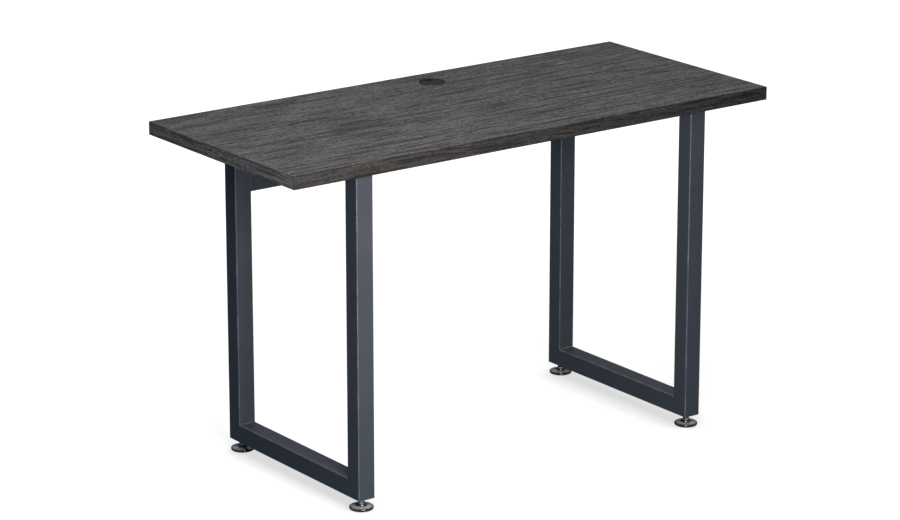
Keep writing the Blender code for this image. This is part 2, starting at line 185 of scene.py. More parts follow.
def arc(middle, radius, first, last, steps):
    """Points of an arc in a plane, from the first angle to the last, in degrees."""
    points = []
    for step in range(steps + 1):
        angle = math.radians(first + (last - first) * step / steps)
        points.append((middle[0] + radius * math.cos(angle), middle[1] + radius * math.sin(angle)))
    return points


def rounded_rectangle(width, depth, radius, steps):
    """Outline of a rectangle about the origin with round corners."""
    points = []
    for quarter, (along_x, along_y) in enumerate(((1, 1), (-1, 1), (-1, -1), (1, -1))):
        middle = (along_x * (width / 2 - radius), along_y * (depth / 2 - radius))
        points += arc(middle, radius, 90 * quarter, 90 * (quarter + 1), steps)
    return points


def hexagon(flat, limit=math.inf):
    """Radius of a hexagon at an angle, with its corners turned down to limit."""

    def radius(angle):
        return min(limit, flat / math.cos((angle + math.pi / 6) % (math.pi / 3) - math.pi / 6))

    return radius


def thread(crest, pitch, low, high, fade=2):
    """Profile rows of a right-hand thread from low to high, which fades out over some turns at each end."""
    rows = []
    depth = THREAD_DEPTH * pitch
    count = round((high - low) / pitch * ROWS_PER_TURN)
    for row in range(count + 1):
        height = low + (high - low) * row / count
        from_end = min(height - low, high - height) / pitch
        full = min(1, from_end / fade + THREAD_AT_END)

        def radius(angle, height=height, full=full):
            phase = (height / pitch - angle / (2 * math.pi)) % 1
            valley = min(1, max(0, VALLEY_WIDTH - abs(2 * phase - 1) * VALLEY_SLOPE))
            return crest - depth * full * valley

        rows.append((radius, height))
    return rows


def mark_arrises(mesh, low, high):
    """Stores 1 in attribute arris at each vertex that lies on no face of the box from low to high."""
    on_face = 2e-5
    attribute = mesh.attributes.new("arris", "FLOAT", "POINT")
    for vertex in mesh.vertices:
        nearest = min(min(abs(vertex.co[i] - low[i]), abs(vertex.co[i] - high[i])) for i in range(3))
        attribute.data[vertex.index].value = 1.0 if nearest > on_face else 0.0


def mark_ring(mesh, inner, outer, above):
    """Stores 1 in attribute ring midway between two radii about Z and above a height, and 0 outside."""
    flatness = 4
    attribute = mesh.attributes.new("ring", "FLOAT", "POINT")
    for vertex in mesh.vertices:
        off_middle = (vertex.co.xy.length - (inner + outer) / 2) / ((outer - inner) / 2)
        inside = max(0.0, 1 - off_middle ** flatness)
        attribute.data[vertex.index].value = inside if vertex.co.z > above else 0.0


# ---- pieces ----


def stand_in(name, node, mesh, *materials):
    """A piece for a CAD node: it rides on the node's body, and the node is hidden. Its mesh is in place."""
    for material in materials:
        mesh.materials.append(material)
    piece = bpy.data.objects.new(name, mesh)
    bpy.context.scene.collection.objects.link(piece)
    weighted = piece.modifiers.new("flat_faces", "WEIGHTED_NORMAL")
    weighted.keep_sharp = True
    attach(piece, BODY_OF[node])
    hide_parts(node)
    return piece


def carved(mesh, cutters):
    """The mesh with the cutter meshes taken out of it."""
    whole = bpy.data.objects.new("carved", mesh)
    bpy.context.scene.collection.objects.link(whole)
    tools = []
    for cutter in cutters:
        tool = bpy.data.objects.new("cutter", cutter)
        bpy.context.scene.collection.objects.link(tool)
        tools.append(tool)
        modifier = whole.modifiers.new("carve", "BOOLEAN")
        modifier.operation = "DIFFERENCE"
        modifier.solver = "EXACT"
        modifier.object = tool
    bpy.context.view_layer.update()
    result = bpy.data.meshes.new_from_object(whole.evaluated_get(bpy.context.evaluated_depsgraph_get()))
    for thing in (whole, *tools):
        bpy.data.objects.remove(thing)
    result.set_sharp_from_angle(angle=SMOOTH_ANGLE)
    return result


def moved(mesh, place, turn=None):
    """A copy of the mesh, turned and then put in place."""
    copy = mesh.copy()
    copy.transform(Matrix.Translation(place) @ (turn or Matrix.Identity(4)))
    return copy


def cylinder(centre, radius, low, high, sides=COARSE):
    """An upright cylinder for cutting a hole."""
    outline = arc(centre, radius, 0, 360 * (sides - 1) / sides, sides - 1)
    return extruded("hole", outline, low, high)


def middle_of(node):
    low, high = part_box(node)
    return (low + high) / 2


# ---- materials ----


def add(tree, kind, settings=None, **inputs):
    """A shader node. An input is a value or another node's output, and v0, v1... are inputs by number."""
    node = tree.nodes.new("ShaderNode" + kind)
    for key, value in (settings or {}).items():
        setattr(node, key, value)
    for key, value in inputs.items():
        numbered = key[0] == "v" and key[1:].isdigit()
        socket = node.inputs[int(key[1:])] if numbered else node.inputs[key.replace("_", " ")]
        if isinstance(value, bpy.types.NodeSocket):
            tree.links.new(value, socket)
        else:
            socket.default_value = value
    return node


def stretched(tree, scale):
    """The object's coordinates times scale: features per metre, as one number or one for each axis."""
    coordinates = add(tree, "TexCoord").outputs["Object"]
    each = scale if isinstance(scale, tuple) else (scale,) * 3
    return add(tree, "Mapping", Vector=coordinates, Scale=each).outputs["Vector"]


def noise(tree, vector, detail=3.0, roughness=0.55, distortion=0.0):
    made = add(
        tree, "TexNoise", {"noise_dimensions": "3D"},
        Vector=vector, Scale=1.0, Detail=detail, Roughness=roughness, Distortion=distortion,
    )
    return made.outputs["Fac"]


def spread(tree, value, low, high, to_low=0.0, to_high=1.0):
    """The value taken from the range low to high onto another range, and held inside it."""
    made = add(tree, "MapRange", v0=value, v1=low, v2=high, v3=to_low, v4=to_high)
    return made.outputs["Result"]


def mix(tree, factor, first, second):
    return add(tree, "MixRGB", v0=factor, v1=first, v2=second).outputs["Color"]


def times(tree, first, second):
    return add(tree, "Math", {"operation": "MULTIPLY"}, v0=first, v1=second).outputs["Value"]


def plus(tree, first, second):
    return add(tree, "Math", {"operation": "ADD"}, v0=first, v1=second).outputs["Value"]


def bump(tree, height, distance, strength=1.0):
    return add(tree, "Bump", Height=height, Distance=distance, Strength=strength).outputs["Normal"]


def surface(name, specular=0.5, metallic=0.0, coat=0.0):
    """A new material with its tree and its Principled node, whose constants are set on its own sockets."""
    material = bpy.data.materials.new(name)
    material.use_nodes = True
    shader = material.node_tree.nodes["Principled BSDF"]
    shader.inputs["Specular IOR Level"].default_value = specular
    shader.inputs["Metallic"].default_value = metallic
    shader.inputs["Coat Weight"].default_value = coat
    return material, material.node_tree, shader


def dress(tree, shader, **inputs):
    for key, value in inputs.items():
        tree.links.new(value, shader.inputs[key.replace("_", " ")])


def grey(level, tint=(1, 1, 1)):
    return (level * tint[0], level * tint[1], level * tint[2], 1)


def wood_print(name, along, level, fineness=1.0):
    """Printed dark grey wood grain along one axis: bands, dashes, streaks, fibres, pores and flecks."""
    material, tree, shader = surface(name, specular=0.12)
    coordinates = add(tree, "TexCoord").outputs["Object"]

    def on_axes(run, across):
        """One number for the axis along the grain and another for the two across it."""
        both = [across * fineness] * 3
        both[along] = run
        return both

    def scaled(vector, run, across, shift=0.0):
        made = add(tree, "Mapping", Vector=vector, Scale=on_axes(run, across), Location=(shift,) * 3)
        return made.outputs["Vector"]

    waver = noise(tree, scaled(coordinates, run=2.2, across=8), detail=2.0)
    sway = add(tree, "CombineXYZ", v0=waver, v1=waver, v2=waver).outputs["Vector"]
    swing = on_axes(run=0.0, across=0.020)
    offset = add(tree, "VectorMath", {"operation": "MULTIPLY"}, v0=sway, v1=swing).outputs["Vector"]
    wavy = add(tree, "VectorMath", {"operation": "ADD"}, v0=coordinates, v1=offset).outputs["Vector"]

    def grain(run, across, detail, roughness=0.55, shift=0.0):
        """Noise with so many features per metre along and across the grain."""
        return noise(tree, scaled(wavy, run, across, shift), detail, roughness)

    bands = spread(tree, grain(run=1.1, across=17, detail=2.0), 0.36, 0.64)
    dashes = spread(tree, grain(run=5.0, across=95, detail=3.0, roughness=0.6, shift=3.1), 0.51, 0.59)
    streaks = spread(tree, grain(run=12, across=130, detail=3.0, roughness=0.65), 0.38, 0.62)
    fibres = spread(tree, grain(run=40, across=420, detail=3.0, roughness=0.6), 0.34, 0.66)
    pores = spread(tree, grain(run=60, across=1000, detail=1.0), 0.58, 0.68)
    flecks = spread(tree, grain(run=120, across=240, detail=3.0, roughness=0.75, shift=1.7), 0.41, 0.59)
    patches = spread(tree, grain(run=1.6, across=5.0, detail=2.0, roughness=0.5, shift=5.3), 0.42, 0.62)

    neutral, warm = (1.0, 0.955, 0.972), (1.03, 0.97, 0.94)
    light = mix(tree, patches, grey(level * 2.15, neutral), grey(level * 2.15, warm))
    dark = mix(tree, patches, grey(level * 0.10, neutral), grey(level * 0.11, warm))
    broad = plus(tree, times(tree, bands, 0.06), times(tree, streaks, 0.26))
    fine = plus(tree, times(tree, fibres, 0.22), times(tree, flecks, 0.46))
    colour = mix(tree, plus(tree, broad, fine), dark, light)
    colour = mix(tree, times(tree, dashes, 0.66), colour, grey(level * 0.24, neutral))
    colour = mix(tree, times(tree, pores, 0.45), colour, grey(level * 0.36, neutral))
    gloss = spread(tree, fibres, 0, 1, 0.62, 0.54)
    roughness = plus(tree, gloss, spread(tree, bands, 0, 1, -0.02, 0.04))
    relief = plus(tree, times(tree, fibres, 0.45), times(tree, pores, -0.8))
    normal = bump(tree, relief, distance=0.00012, strength=0.5)
    dress(tree, shader, Base_Color=colour, Roughness=roughness, Normal=normal)
    return material


def backer_sheet():
    """The plain balancing sheet under the board."""
    material, tree, shader = surface("backer_sheet", specular=0.3)
    fleck = noise(tree, stretched(tree, 160), detail=4.0, roughness=0.7)
    cloud = noise(tree, stretched(tree, 6), detail=2.0)
    colour = mix(tree, fleck, grey(0.020, (1, 0.96, 0.92)), grey(0.034, (1, 0.97, 0.94)))
    colour = mix(tree, times(tree, cloud, 0.4), colour, grey(0.018))
    roughness = spread(tree, fleck, 0.3, 0.7, 0.62, 0.74)
    normal = bump(tree, fleck, distance=0.0001, strength=0.4)
    dress(tree, shader, Base_Color=colour, Roughness=roughness, Normal=normal)
    return material


def board_core():
    """Particle board where the board is cut through: pressed chips, pale and dark."""
    material, tree, shader = surface("board_core", specular=0.2)
    chips = noise(tree, stretched(tree, (420, 420, 900)), detail=4.0, roughness=0.75, distortion=1.2)
    dust = noise(tree, stretched(tree, 1800), detail=2.0)
    dark_chip, pale_chip = grey(0.16, (1, 0.72, 0.44)), grey(0.42, (1, 0.80, 0.56))
    colour = mix(tree, spread(tree, chips, 0.35, 0.65), dark_chip, pale_chip)
    colour = mix(tree, times(tree, dust, 0.3), colour, grey(0.10, (1, 0.75, 0.5)))
    roughness = spread(tree, dust, 0.3, 0.7, 0.82, 0.94)
    normal = bump(tree, chips, distance=0.0004, strength=0.6)
    dress(tree, shader, Base_Color=colour, Roughness=roughness, Normal=normal)
    return material


def powder_coat():
    """Charcoal powder coat with a blue cast: orange peel, faint clouding, and lighter arrises: an even
    painted highlight on every arris, more in patches of rubbed wear.
    """
    material, tree, shader = surface("powder_coat", specular=0.30)
    cloud = noise(tree, stretched(tree, 9), detail=3.0)
    peel = noise(tree, stretched(tree, 900), detail=2.0, roughness=0.5)
    speck = noise(tree, stretched(tree, 2600), detail=1.0)
    scuff = noise(tree, stretched(tree, (70, 70, 28)), detail=4.0, roughness=0.7)
    arris = add(tree, "Attribute", {"attribute_name": "arris"}).outputs["Fac"]
    colour = mix(tree, cloud, (0.0235, 0.0275, 0.036, 1), (0.032, 0.037, 0.047, 1))
    colour = mix(tree, spread(tree, speck, 0.55, 0.72, 0.0, 0.30), colour, (0.075, 0.083, 0.098, 1))
    # Every arris is lightened a little as painted highlight, and further where the noise marks rubbed wear.
    scuffed = times(tree, times(tree, arris, spread(tree, scuff, 0.45, 0.72)), 0.42)
    colour = mix(tree, plus(tree, times(tree, arris, 0.16), scuffed), colour, (0.16, 0.17, 0.185, 1))
    clouded = spread(tree, cloud, 0.3, 0.7, 0.36, 0.44)
    roughness = plus(tree, clouded, spread(tree, peel, 0.3, 0.7, -0.03, 0.03))
    normal = bump(tree, peel, distance=0.00006, strength=0.35)
    dress(tree, shader, Base_Color=colour, Roughness=roughness, Normal=normal)
    return material


def zinc_plate():
    """Bright zinc plate with a faint yellow and blue bloom and fine drawn marks."""
    material, tree, shader = surface("zinc_plate", metallic=1.0)
    bloom = noise(tree, stretched(tree, 180), detail=3.0, roughness=0.6, distortion=0.8)
    drawn = noise(tree, stretched(tree, (2400, 2400, 500)), detail=2.0)
    bluish, yellowish = (0.38, 0.395, 0.42, 1), (0.46, 0.455, 0.43, 1)
    colour = mix(tree, spread(tree, bloom, 0.35, 0.65), bluish, yellowish)
    colour = mix(tree, spread(tree, drawn, 0.55, 0.75, 0.0, 0.35), colour, (0.34, 0.34, 0.35, 1))
    bloomed = spread(tree, bloom, 0.3, 0.7, 0.34, 0.46)
    roughness = plus(tree, bloomed, spread(tree, drawn, 0.3, 0.7, -0.03, 0.06))
    normal = bump(tree, drawn, distance=0.00003, strength=0.4)
    dress(tree, shader, Base_Color=colour, Roughness=roughness, Normal=normal)
    return material


def black_oxide():
    """Black oxide on steel: nearly black, with an oily sheen that varies."""
    material, tree, shader = surface("black_oxide", specular=0.5)
    oil = noise(tree, stretched(tree, 420), detail=3.0, roughness=0.6)
    grit = noise(tree, stretched(tree, 3200), detail=2.0)
    colour = mix(tree, oil, (0.020, 0.021, 0.023, 1), (0.036, 0.036, 0.038, 1))
    colour = mix(tree, spread(tree, grit, 0.6, 0.75, 0.0, 0.4), colour, (0.085, 0.083, 0.08, 1))
    roughness = spread(tree, oil, 0.3, 0.7, 0.28, 0.42)
    normal = bump(tree, grit, distance=0.00003, strength=0.4)
    dress(tree, shader, Base_Color=colour, Roughness=roughness, Normal=normal)
    return material


def gloss_plastic():
    """Glossy black moulding for the feet: a grey ring on the cone as painted reflection, faint scuffs and
    floor dust.
    """
    material, tree, shader = surface("gloss_plastic", specular=0.5, coat=0.35)
    flow = noise(tree, stretched(tree, (90, 90, 60)), detail=3.0)
    scratches = noise(tree, stretched(tree, (1300, 260, 700)), detail=3.0, roughness=0.7)
    scuff = spread(tree, scratches, 0.62, 0.74)
    height = add(tree, "SeparateXYZ", Vector=stretched(tree, 1)).outputs["Z"]
    dust = times(tree, spread(tree, height, 0.0, 0.004, 1.0, 0.0), spread(tree, flow, 0.4, 0.65))
    ring = add(tree, "Attribute", {"attribute_name": "ring"}).outputs["Fac"]
    # A grey ring on the cone, varied in patches: painted reflection of the light.
    painted_reflection_ring = times(tree, ring, spread(tree, flow, 0.3, 0.7, 0.75, 1.0))
    colour = mix(tree, flow, (0.0075, 0.0078, 0.0085, 1), (0.012, 0.012, 0.013, 1))
    colour = mix(tree, painted_reflection_ring, colour, (0.20, 0.202, 0.21, 1))
    colour = mix(tree, times(tree, dust, 0.35), colour, (0.09, 0.088, 0.084, 1))
    dulled = plus(tree, times(tree, scuff, 0.14), times(tree, dust, 0.3))
    roughness = plus(tree, spread(tree, flow, 0.3, 0.7, 0.10, 0.17), dulled)
    normal = bump(tree, flow, distance=0.00008, strength=0.15)
    dress(tree, shader, Base_Color=colour, Roughness=roughness, Normal=normal)
    return material


def textured_plastic():
    """Black moulding for the grommet, with a fine spark-eroded texture."""
    material, tree, shader = surface("textured_plastic", specular=0.15)
    sparks = noise(tree, stretched(tree, 2200), detail=3.0, roughness=0.6)
    cloud = noise(tree, stretched(tree, 60), detail=2.0)
    colour = mix(tree, cloud, (0.010, 0.010, 0.011, 1), (0.016, 0.016, 0.017, 1))
    colour = mix(tree, spread(tree, sparks, 0.5, 0.75, 0.0, 0.3), colour, (0.030, 0.030, 0.032, 1))
    roughness = spread(tree, sparks, 0.3, 0.7, 0.40, 0.56)
    normal = bump(tree, sparks, distance=0.00006, strength=0.5)
    dress(tree, shader, Base_Color=colour, Roughness=roughness, Normal=normal)
    return material


def make_materials():
    across_the_desk, front_to_back = 0, 1
    return {
        "laminate": wood_print("laminate", across_the_desk, level=0.077),
        # One band print at two levels: darker on the front and rear bands as painted shade, lighter on the
        # end bands as painted light.
        "band_across_painted_shade": wood_print("band_across_painted_shade", across_the_desk, level=0.019, fineness=2.2),
        "band_deep_painted_light": wood_print("band_deep_painted_light", front_to_back, level=0.100, fineness=2.2),
        "backer": backer_sheet(),
        "core": board_core(),
        "coat": powder_coat(),
        "zinc": zinc_plate(),
        "oxide": black_oxide(),
        "gloss": gloss_plastic(),
        "texture": textured_plastic(),
    }


# ---- desktop ----


def box_shape(low, high):
    shape = bmesh.new()
    bmesh.ops.create_cube(shape, size=1)
    for vertex in shape.verts:
        vertex.co = [low[i] if vertex.co[i] < 0 else high[i] for i in range(3)]
    return shape


def make_panel(materials):
    """The board with its grommet hole and its inserts' pockets: laminate over a core over a backer sheet."""
    low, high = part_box("desktop_board")
    reach_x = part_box("edge_band_right")[0].x - GLUE_LINE
    reach_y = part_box("edge_band_rear")[0].y - GLUE_LINE
    sheet = finished("desktop_panel", box_shape((-reach_x, -reach_y, low.z), (reach_x, reach_y, high.z)))
    grommet = middle_of("grommet_liner")
    cutters = [cylinder(grommet.xy, GROMMET_HOLE_RADIUS, low.z - BEYOND, high.z + BEYOND, FINE)]
    for side in SIDES:
        for number in (1, 2, 3):
            insert_low, insert_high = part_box(f"{side}_top_insert_{number}")
            middle = (insert_low + insert_high) / 2
            radius = (insert_high.x - insert_low.x) / 2 + POCKET_CLEARANCE
            cutters.append(cylinder(middle.xy, radius, low.z - BEYOND, insert_high.z + POCKET_DEEPER))
    mesh = carved(sheet, cutters)
    laminate, backer, core = range(3)
    for face in mesh.polygons:
        face.material_index = core
        if face.normal.z > FACING:
            face.material_index = laminate
        elif face.normal.z < -FACING and face.center.z < low.z + UNDERSIDE_DEPTH:
            face.material_index = backer
    skins = (materials["laminate"], materials["backer"], materials["core"])
    stand_in("desktop_panel", "desktop_board", mesh, *skins)


def make_bands(materials):
    """Edge bands with eased arrises. The front and rear ones run full width, the end ones fit between."""
    for edge in ("front", "rear", "left", "right"):
        low, high = (list(corner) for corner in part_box(f"edge_band_{edge}"))
        through, outward = (1, -1 if edge == "front" else 1) if edge in ENDS else (0, SIDES[edge])
        inner = low[through] if outward > 0 else high[through]
        if edge in SIDES:
            low[1] = -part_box("edge_band_rear")[0].y + GLUE_LINE
            high[1] = -low[1]
        shape = box_shape(low, high)
        eased = []
        for line in shape.edges:
            start, end = (vertex.co for vertex in line.verts)
            on_inner = abs(start[through] - inner) < MERGE and abs(end[through] - inner) < MERGE
            on_end = abs(start[1 - through] - end[1 - through]) < MERGE
            if not on_inner and (edge in ENDS or not on_end):
                eased.append(line)
        bmesh.ops.bevel(
            shape, geom=eased, offset=BAND_ARRIS, segments=BAND_ARRIS_STEPS, profile=0.5, affect="EDGES"
        )
        mesh = finished(f"{edge}_band", shape)
        # The front and rear bands take the print darkened as painted shade, the end bands the print
        # lightened as painted light.
        material = materials["band_across_painted_shade" if edge in ENDS else "band_deep_painted_light"]
        stand_in(f"{edge}_band", f"edge_band_{edge}", mesh, material)


# ---- frames ----


def square_tube(name, centre, along, outward, size, length, mitres):
    """A square tube. An end (-1 or 1) in mitres is cut at 45 degrees, longest outward, its corner eased."""
    half = size / 2
    outer, eased, inner = (
        rounded_rectangle(size - 2 * less, size - 2 * less, TUBE_ROUNDING - less, ROUNDING_STEPS)
        for less in (0, END_EASE, WALL)
    )

    def ring(section, end, back=0.0, ease=0.0, tilt=0.0):
        points = []
        for across, out in section:
            held, reach = out, length / 2 - back
            if end in mitres:
                held = min(out, half - ease + ease * math.cos(tilt))
                reach = min(length / 2 - (half - out), length / 2 - ease + ease * math.sin(tilt))
            points.append(centre + across * X + held * outward + end * reach * along)
        return points

    def outside(end):
        """Rings of the outer faces at an end, in the order that leads off the tube."""
        if end not in mitres:
            return [ring(outer, end, END_EASE), ring(eased, end)]
        tilts = [math.pi / 4 * step / MITRE_STEPS for step in range(MITRE_STEPS + 1)]
        return [ring(outer, end, ease=MITRE_EASE, tilt=tilt) for tilt in tilts]

    loops = [*reversed(outside(-1)), *outside(1), ring(inner, 1), ring(inner, -1)]
    mesh = skinned(name, loops, closed=True)
    reach = half * (X + outward) + length / 2 * along
    reach = Vector([abs(part) for part in reach])
    mark_arrises(mesh, centre - reach, centre + reach)
    return mesh


def flat_bar(name, low, high):
    """A flat bar with round corners and eased edges."""
    middle, size = (low + high) / 2, high - low
    loops = []
    for z, less in ((low.z, BAR_EASE), (low.z + BAR_EASE, 0), (high.z - BAR_EASE, 0), (high.z, BAR_EASE)):
        wide, deep = size.x - 2 * less, size.y - 2 * less
        outline = rounded_rectangle(wide, deep, TUBE_ROUNDING - less, ROUNDING_STEPS)
        loops.append([(middle.x + x, middle.y + y, z) for x, y in outline])
    mesh = skinned(name, loops, capped=True)
    mark_arrises(mesh, low, high)
    return mesh


def weld_bead(corner, toward_y, toward_z, width):
    """A rippled fillet along X in the inner corner of a frame, with a sagging face and blunt ends."""
    root = 0.0004  # how deep the bead goes into the tubes
    sag, ripple_height, end_size, arc_steps = 0.93, 0.06, 0.25, 6
    loops = []
    steps = round(width / WELD_RIPPLE) * STEPS_PER_RIPPLE
    for step in range(steps + 1):
        x = width * (step / steps - 0.5)
        near_end = min(1, (width / 2 - abs(x)) / WELD_LEG + end_size)
        leg = WELD_LEG * near_end ** 0.5 * (1 + ripple_height * math.sin(2 * math.pi * x / WELD_RIPPLE))
        loop = [(-root, -root), (leg, -root), *arc((0, 0), leg, 0, 90, arc_steps), (-root, leg)]
        hollow = [(u * sag, v * sag) if u > 0 and v > 0 else (u, v) for u, v in loop]
        loops.append([corner + x * X + u * toward_y * Y + v * toward_z * Z for u, v in hollow])
    return skinned("weld", loops, capped=True)


def make_welds(side, coat):
    """A bead in each inner corner of a frame."""
    rail_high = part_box(f"{side}_bottom_rail")[1]
    bar_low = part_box(f"{side}_mounting_bar")[0]
    front_low, front_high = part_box(f"{side}_front_leg")
    rear_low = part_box(f"{side}_rear_leg")[0]
    middle_x = middle_of(f"{side}_bottom_rail").x
    width = front_high.x - front_low.x - 2 * TUBE_ROUNDING
    for end, y, toward_y in (("front", front_high.y, 1), ("rear", rear_low.y, -1)):
        for level, z, toward_z in (("low", rail_high.z, 1), ("high", bar_low.z, -1)):
            bead = weld_bead(Vector((middle_x, y, z)), toward_y, toward_z, width)
            bead.materials.append(coat)
            weld = bpy.data.objects.new(f"{side}_{end}_{level}_weld", bead)
            bpy.context.scene.collection.objects.link(weld)
            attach(weld, BODY_OF[f"{side}_{end}_leg"])


def make_frames(materials):
    """Two frames: two legs mitred to a bottom rail, with a flat bar across their tops and welds inside."""
    coat = materials["coat"]
    for side in SIDES:
        rail_low, rail_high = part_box(f"{side}_bottom_rail")
        bar_low, bar_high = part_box(f"{side}_mounting_bar")
        front_low, front_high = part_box(f"{side}_front_leg")
        rear_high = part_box(f"{side}_rear_leg")[1]
        size = front_high.x - front_low.x
        middle = (rail_low + rail_high) / 2
        leg_tall, leg_z = bar_low.z - rail_low.z, (bar_low.z + rail_low.z) / 2
        for end, y, outward in (("front", front_low.y + size / 2, -Y), ("rear", rear_high.y - size / 2, Y)):
            name = f"{side}_{end}_leg"
            centre = Vector((middle.x, y, leg_z))
            mesh = square_tube(f"{name}_tube", centre, Z, outward, size, leg_tall, mitres=(-1,))
            stand_in(f"{name}_tube", name, mesh, coat)
        name = f"{side}_bottom_rail"
        tube = square_tube(f"{name}_tube", middle, Y, -Z, size, rear_high.y - front_low.y, mitres=(-1, 1))
        holes = []
        for end in ENDS:
            nut = middle_of(f"foot_nut_{end}_{side}")
            holes.append(cylinder(nut.xy, NUT_HOLE_RADIUS, rail_low.z - BEYOND, rail_low.z + BEYOND))
        stand_in(f"{name}_tube", name, carved(tube, holes), coat)
        name = f"{side}_mounting_bar"
        bar = flat_bar(f"{name}_flat", bar_low, bar_high)
        holes = []
        for number in (1, 2, 3):
            screw = middle_of(f"{side}_top_screw_{number}")
            holes.append(cylinder(screw.xy, SCREW_HOLE_RADIUS, bar_low.z - BEYOND, bar_high.z + BEYOND))
        stand_in(f"{name}_flat", name, carved(bar, holes), coat)
        make_welds(side, coat)


def make_stretcher(materials):
    low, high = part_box("rear_stretcher")
    centre, size = (low + high) / 2, high - low
    less = 2 * END_EASE
    full = rounded_rectangle(size.y, size.z, TUBE_ROUNDING, ROUNDING_STEPS)
    eased = rounded_rectangle(size.y - less, size.z - less, TUBE_ROUNDING - END_EASE, ROUNDING_STEPS)
    inner = rounded_rectangle(size.y - 2 * WALL, size.z - 2 * WALL, TUBE_ROUNDING - WALL, ROUNDING_STEPS)
    loops = []
    for section, x in (
        (inner, low.x), (eased, low.x), (full, low.x + END_EASE),
        (full, high.x - END_EASE), (eased, high.x), (inner, high.x),
    ):
        loops.append([(x, centre.y + y, centre.z + z) for y, z in section])
    mesh = skinned("rear_stretcher_tube", loops, closed=True)
    mark_arrises(mesh, low, high)
    cutters = []
    facing_rear = Matrix.Rotation(math.pi / 2, 4, "X")
    for side in SIDES:
        for number in (1, 2):
            screw = middle_of(f"{side}_stretcher_screw_{number}")
            hole = cylinder((0, 0), SCREW_HOLE_RADIUS, -BEYOND, BEYOND)
            cutters.append(moved(hole, (screw.x, high.y, screw.z), facing_rear))
    stand_in("rear_stretcher_tube", "rear_stretcher", carved(mesh, cutters), materials["coat"])


# ---- screws and feet ----


def button_screw(name, radius, head, tip, plain):
    """A button-head screw along Z: its crown at -head, its seat at 0, and its thread from plain to tip."""
    shank, ease = radius * SHANK_OF_HEAD, 0.0002
    crown = []
    for tilt in range(36, 84, 6):
        angle = math.radians(tilt)
        crown.append((radius * math.sin(angle), -head * math.cos(angle) ** 0.8))
    profile = [
        (0, -head + SOCKET_DEPTH * 1.2),
        (hexagon(SOCKET_FLAT), -head + SOCKET_DEPTH),
        (hexagon(SOCKET_FLAT), -head + ease),
        (SOCKET_FLAT * 1.22, -head),
        (crown[0][0] * 0.96, -head),
        *crown,
        (radius, -head * 0.16),
        (radius - ease, 0),
        (shank, 0),
        (shank, plain),
    ]
    profile += thread(shank, M6_PITCH, plain + 0.0003, tip - 0.0008)
    profile += [(shank * 0.72, tip), (0, tip)]
    return turned(name, profile, COARSE)


def make_screws(materials):
    """Zinc screws up through the mounting bars, and black ones through the stretcher into its stubs."""
    facing_rear = Matrix.Rotation(math.pi / 2, 4, "X")
    for side in SIDES:
        for number in (1, 2, 3):
            node = f"{side}_top_screw_{number}"
            low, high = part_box(node)
            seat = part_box(f"{side}_mounting_bar")[0].z
            middle, radius = (low + high) / 2, (high.x - low.x) / 2
            screw = button_screw("top_screw", radius, seat - low.z, high.z - seat, plain=0.0006)
            placed = moved(screw, (middle.x, middle.y, seat))
            stand_in(f"{side}_top_bolt_{number}", node, placed, materials["zinc"])
        for number in (1, 2):
            node = f"{side}_stretcher_screw_{number}"
            low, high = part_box(node)
            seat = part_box("rear_stretcher")[1].y
            middle, radius = (low + high) / 2, (high.x - low.x) / 2
            screw = button_screw("stretcher_screw", radius, high.y - seat, seat - low.y, plain=0.0005)
            placed = moved(screw, (middle.x, seat, middle.z), facing_rear)
            stand_in(f"{side}_stretcher_bolt_{number}", node, placed, materials["oxide"])


def foot_pad(radius, top):
    """A glossy disc: rounded rim, shallow concave cone and a boss with a socket for the stud."""
    hollow = 0.0005  # under the middle of the base
    base_round, rim_round, rim_top = 0.0030, 0.0021, 0.0041
    boss_tall, boss_round = 0.0016, 0.0008
    socket, socket_floor, ease = 0.0046, 0.004, 0.0003
    profile = [(0, hollow), (radius * 0.74, hollow), (radius * 0.77, 0)]
    profile += arc((radius - base_round, base_round), base_round, -90, 0, 8)
    profile += arc((radius - rim_round, rim_top), rim_round, 0, 74, 8)
    rim_end = profile[-1]
    boss_foot = (radius * 0.385, top - boss_tall)
    steps = 10
    for step in range(1, steps + 1):
        t = step / steps
        rise = 0.62 * t + 0.38 * t ** 4
        reach = rim_end[0] + (boss_foot[0] - rim_end[0]) * t
        profile.append((reach, rim_end[1] + (boss_foot[1] - rim_end[1]) * rise))
    profile += arc((boss_foot[0] - 0.0012, top - boss_round), boss_round, 0, 90, 4)
    profile += [(socket + ease, top), (socket, top - ease), (socket, socket_floor), (0, socket_floor)]
    mesh = turned("foot_disc", profile, FINE)
    # The ring attribute marks where the foot material paints a grey reflection on the cone.
    mark_ring(mesh, radius * 0.46, radius * 0.94, rim_top)
    return mesh


def foot_stud(low, high):
    """An M8 stud with a chamfered hexagon near its foot."""
    radius, flat, ease, undercut = 0.0039, 0.0065, 0.0004, 0.0005
    hex_low, hex_high = 0.0109, 0.0154
    # How far up a chamfer is, and how far out over the flat
    chamfer = ((0.0, 0.985), (0.00022, 1.035), (0.00045, 1.08), (0.0007, 1.16))
    profile = [(0, low), (radius - ease, low), (radius, low + ease), (radius, hex_low)]
    profile += [(hexagon(flat, flat * limit), hex_low + lift) for lift, limit in chamfer]
    profile += [(hexagon(flat, flat * limit), hex_high - lift) for lift, limit in reversed(chamfer)]
    profile += [(radius - undercut, hex_high), (radius - undercut, hex_high + ease)]
    profile += thread(radius, M8_PITCH, hex_high + 0.0006, high - 0.001, fade=1)
    profile += [(radius - 0.0011, high), (0, high)]
    return turned("foot_stud", profile, COARSE)


